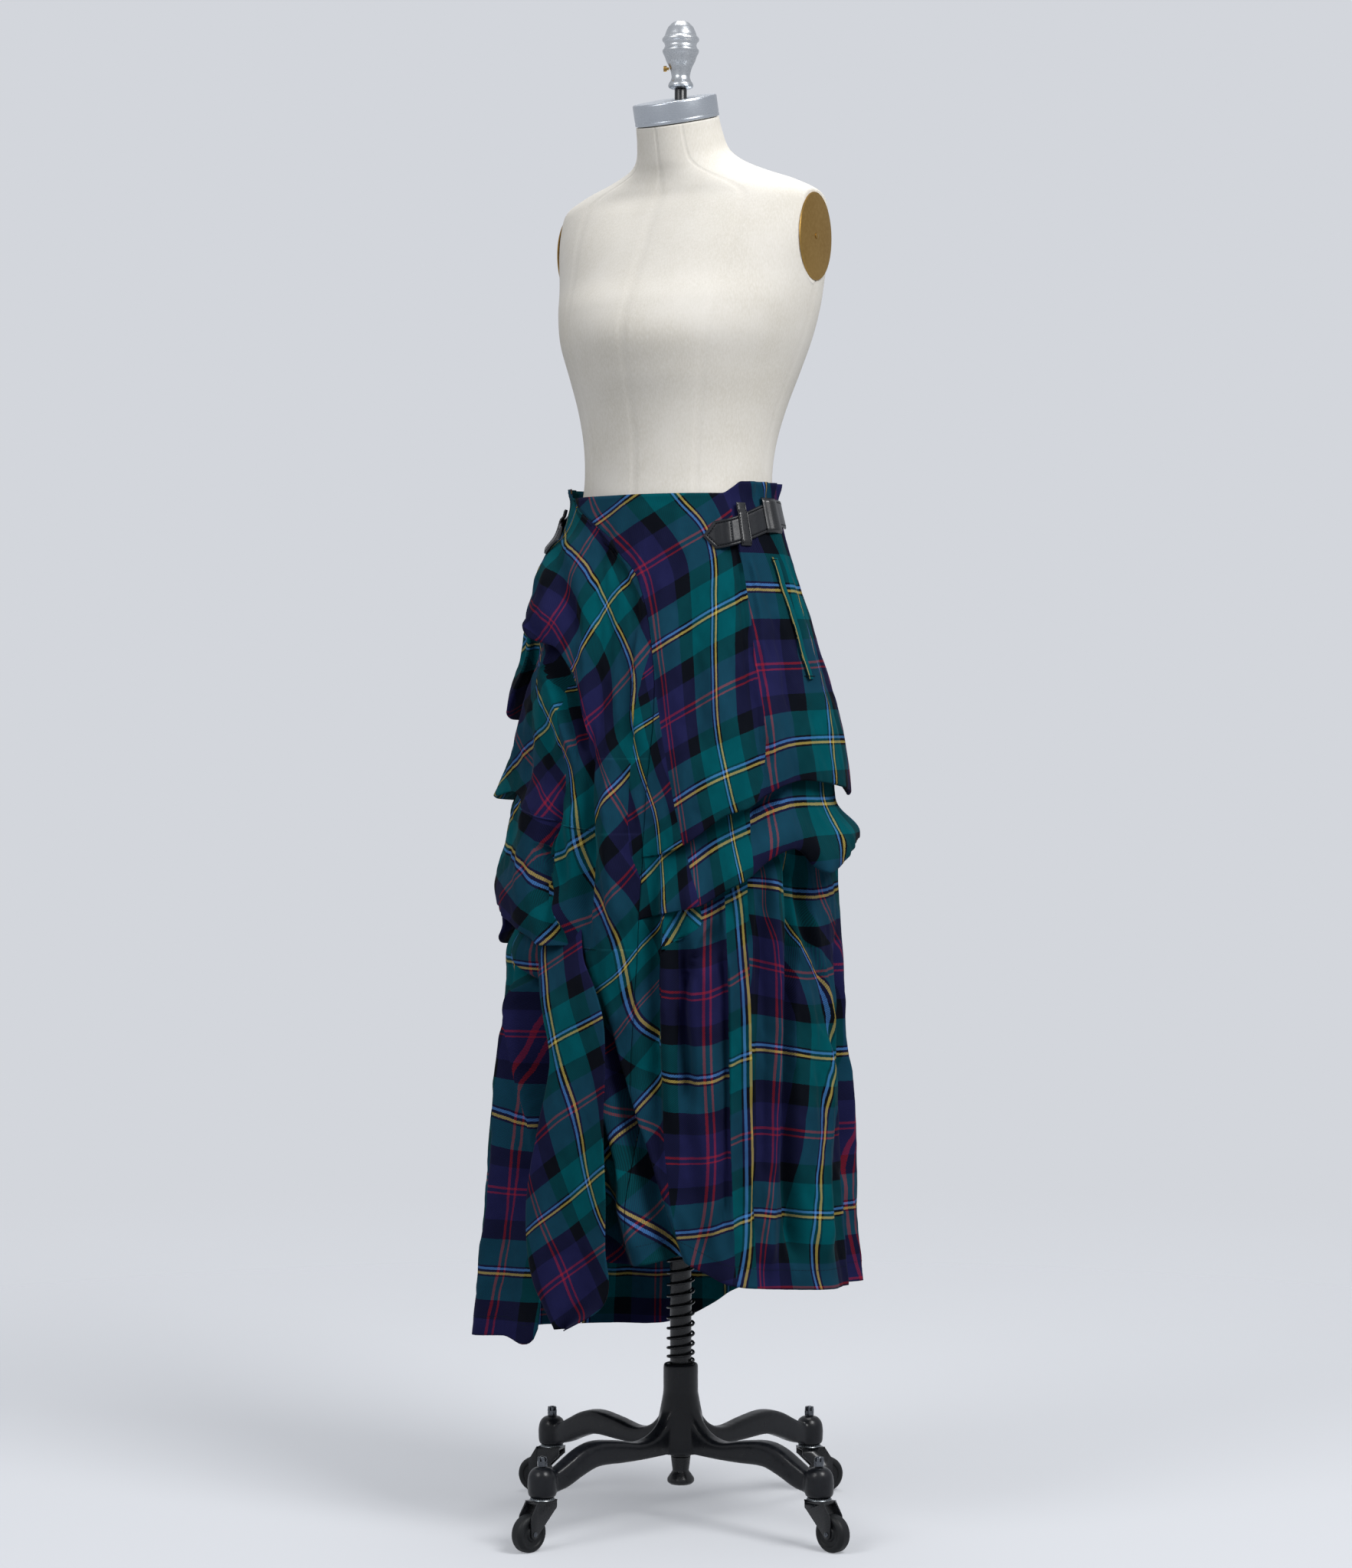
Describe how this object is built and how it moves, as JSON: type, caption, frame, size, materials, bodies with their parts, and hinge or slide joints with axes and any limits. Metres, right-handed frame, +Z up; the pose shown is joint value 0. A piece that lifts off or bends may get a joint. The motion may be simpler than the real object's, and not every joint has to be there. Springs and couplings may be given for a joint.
{
  "type": "tartan skirt on a dress form stand",
  "caption": "Long draped tartan wrap skirt with leather side straps, on a limbless dress form that stands on a cast base with casters.",
  "frame": {"origin": "on the floor, at the centre of the whole part's footprint box; the pole's axis is about 2 mm behind it", "axes": "+Z up, the form's front faces -Y and its left side is towards +X"},
  "size_m": [0.5212, 0.5162, 1.7623],
  "materials": {
    "tartan": "brushed tartan twill",
    "canvas": "unbleached linen over papier-mache",
    "board": "plain board",
    "strap_leather": "smooth black leather",
    "cast_aluminium": "cast",
    "spun_aluminium": "brushed",
    "plate_brass": "satin brass paint",
    "black_iron": "black enamel",
    "black_steel": "black enamel",
    "bare_steel": "bare steel",
    "tread": "hard black rubber"
  },
  "bodies": {
    "stand": {"base_casting": "black_iron", "spring": "black_steel", "stem_nut_front_left": "black_steel", "stem_nut_front_right": "black_steel", "stem_nut_rear_right": "black_steel", "stem_nut_rear_left": "black_steel"},
    "pole": {"pole": "black_steel", "pole_foot": "black_steel", "finial": "cast_aluminium", "finial_set_screw": "plate_brass"},
    "form": {"form_torso": "canvas", "form_bottom_board": "board", "neck_cap": "spun_aluminium", "arm_plate_left": "plate_brass", "arm_plate_right": "plate_brass", "skirt_left_panel": "tartan", "skirt_right_panel": "tartan", "skirt_back_panel": "tartan", "skirt_tail": "tartan", "strap_left": "strap_leather", "strap_right": "strap_leather", "keeper_left": "strap_leather", "keeper_right": "strap_leather", "buckle_left": "strap_leather", "buckle_right": "strap_leather", "pocket_welt_left": "tartan", "pocket_welt_right": "tartan"},
    "caster_front_left": {"fork_front_left": "black_steel", "bearing_ring_front_left": "bare_steel"},
    "roller_front_left": {"wheel_front_left": "tread"},
    "caster_front_right": {"fork_front_right": "black_steel", "bearing_ring_front_right": "bare_steel"},
    "roller_front_right": {"wheel_front_right": "tread"},
    "caster_rear_right": {"fork_rear_right": "black_steel", "bearing_ring_rear_right": "bare_steel"},
    "roller_rear_right": {"wheel_rear_right": "tread"},
    "caster_rear_left": {"fork_rear_left": "black_steel", "bearing_ring_rear_left": "bare_steel"},
    "roller_rear_left": {"wheel_rear_left": "tread"}
  },
  "joints": [
    {"name": "form_height", "type": "slide", "parent": "stand", "child": "pole", "axis": [0, 0, 1], "range_m": [-0.035, 0.018], "deforming": ["spring"]},
    {"name": "form_turn", "type": "hinge", "parent": "pole", "child": "form", "pos_m": [-0.00002, 0.00198, 0.95967], "axis": [0, 0, 1], "continuous": true},
    {"name": "swivel_front_left", "type": "hinge", "parent": "stand", "child": "caster_front_left", "pos_m": [-0.04238, -0.21594, 0.05667], "axis": [0, 0, 1], "continuous": true},
    {"name": "roll_front_left", "type": "hinge", "parent": "caster_front_left", "child": "roller_front_left", "pos_m": [-0.04639, -0.23655, 0.02117], "axis": [0.9816, -0.1908, 0], "continuous": true},
    {"name": "swivel_front_right", "type": "hinge", "parent": "stand", "child": "caster_front_right", "pos_m": [0.2179, -0.04038, 0.05667], "axis": [0, 0, 1], "continuous": true},
    {"name": "roll_front_right", "type": "hinge", "parent": "caster_front_right", "child": "roller_front_right", "pos_m": [0.23851, -0.04439, 0.02117], "axis": [0.1908, 0.9816, 0], "continuous": true},
    {"name": "swivel_rear_right", "type": "hinge", "parent": "stand", "child": "caster_rear_right", "pos_m": [0.04234, 0.2199, 0.05667], "axis": [0, 0, 1], "continuous": true},
    {"name": "roll_rear_right", "type": "hinge", "parent": "caster_rear_right", "child": "roller_rear_right", "pos_m": [0.05468, 0.23689, 0.02117], "axis": [-0.809, 0.5878, 0], "continuous": true},
    {"name": "swivel_rear_left", "type": "hinge", "parent": "stand", "child": "caster_rear_left", "pos_m": [-0.21794, 0.04434, 0.05667], "axis": [0, 0, 1], "continuous": true},
    {"name": "roll_rear_left", "type": "hinge", "parent": "caster_rear_left", "child": "roller_rear_left", "pos_m": [-0.23832, 0.03926, 0.02117], "axis": [0.2419, -0.9703, 0], "continuous": true}
  ]
}
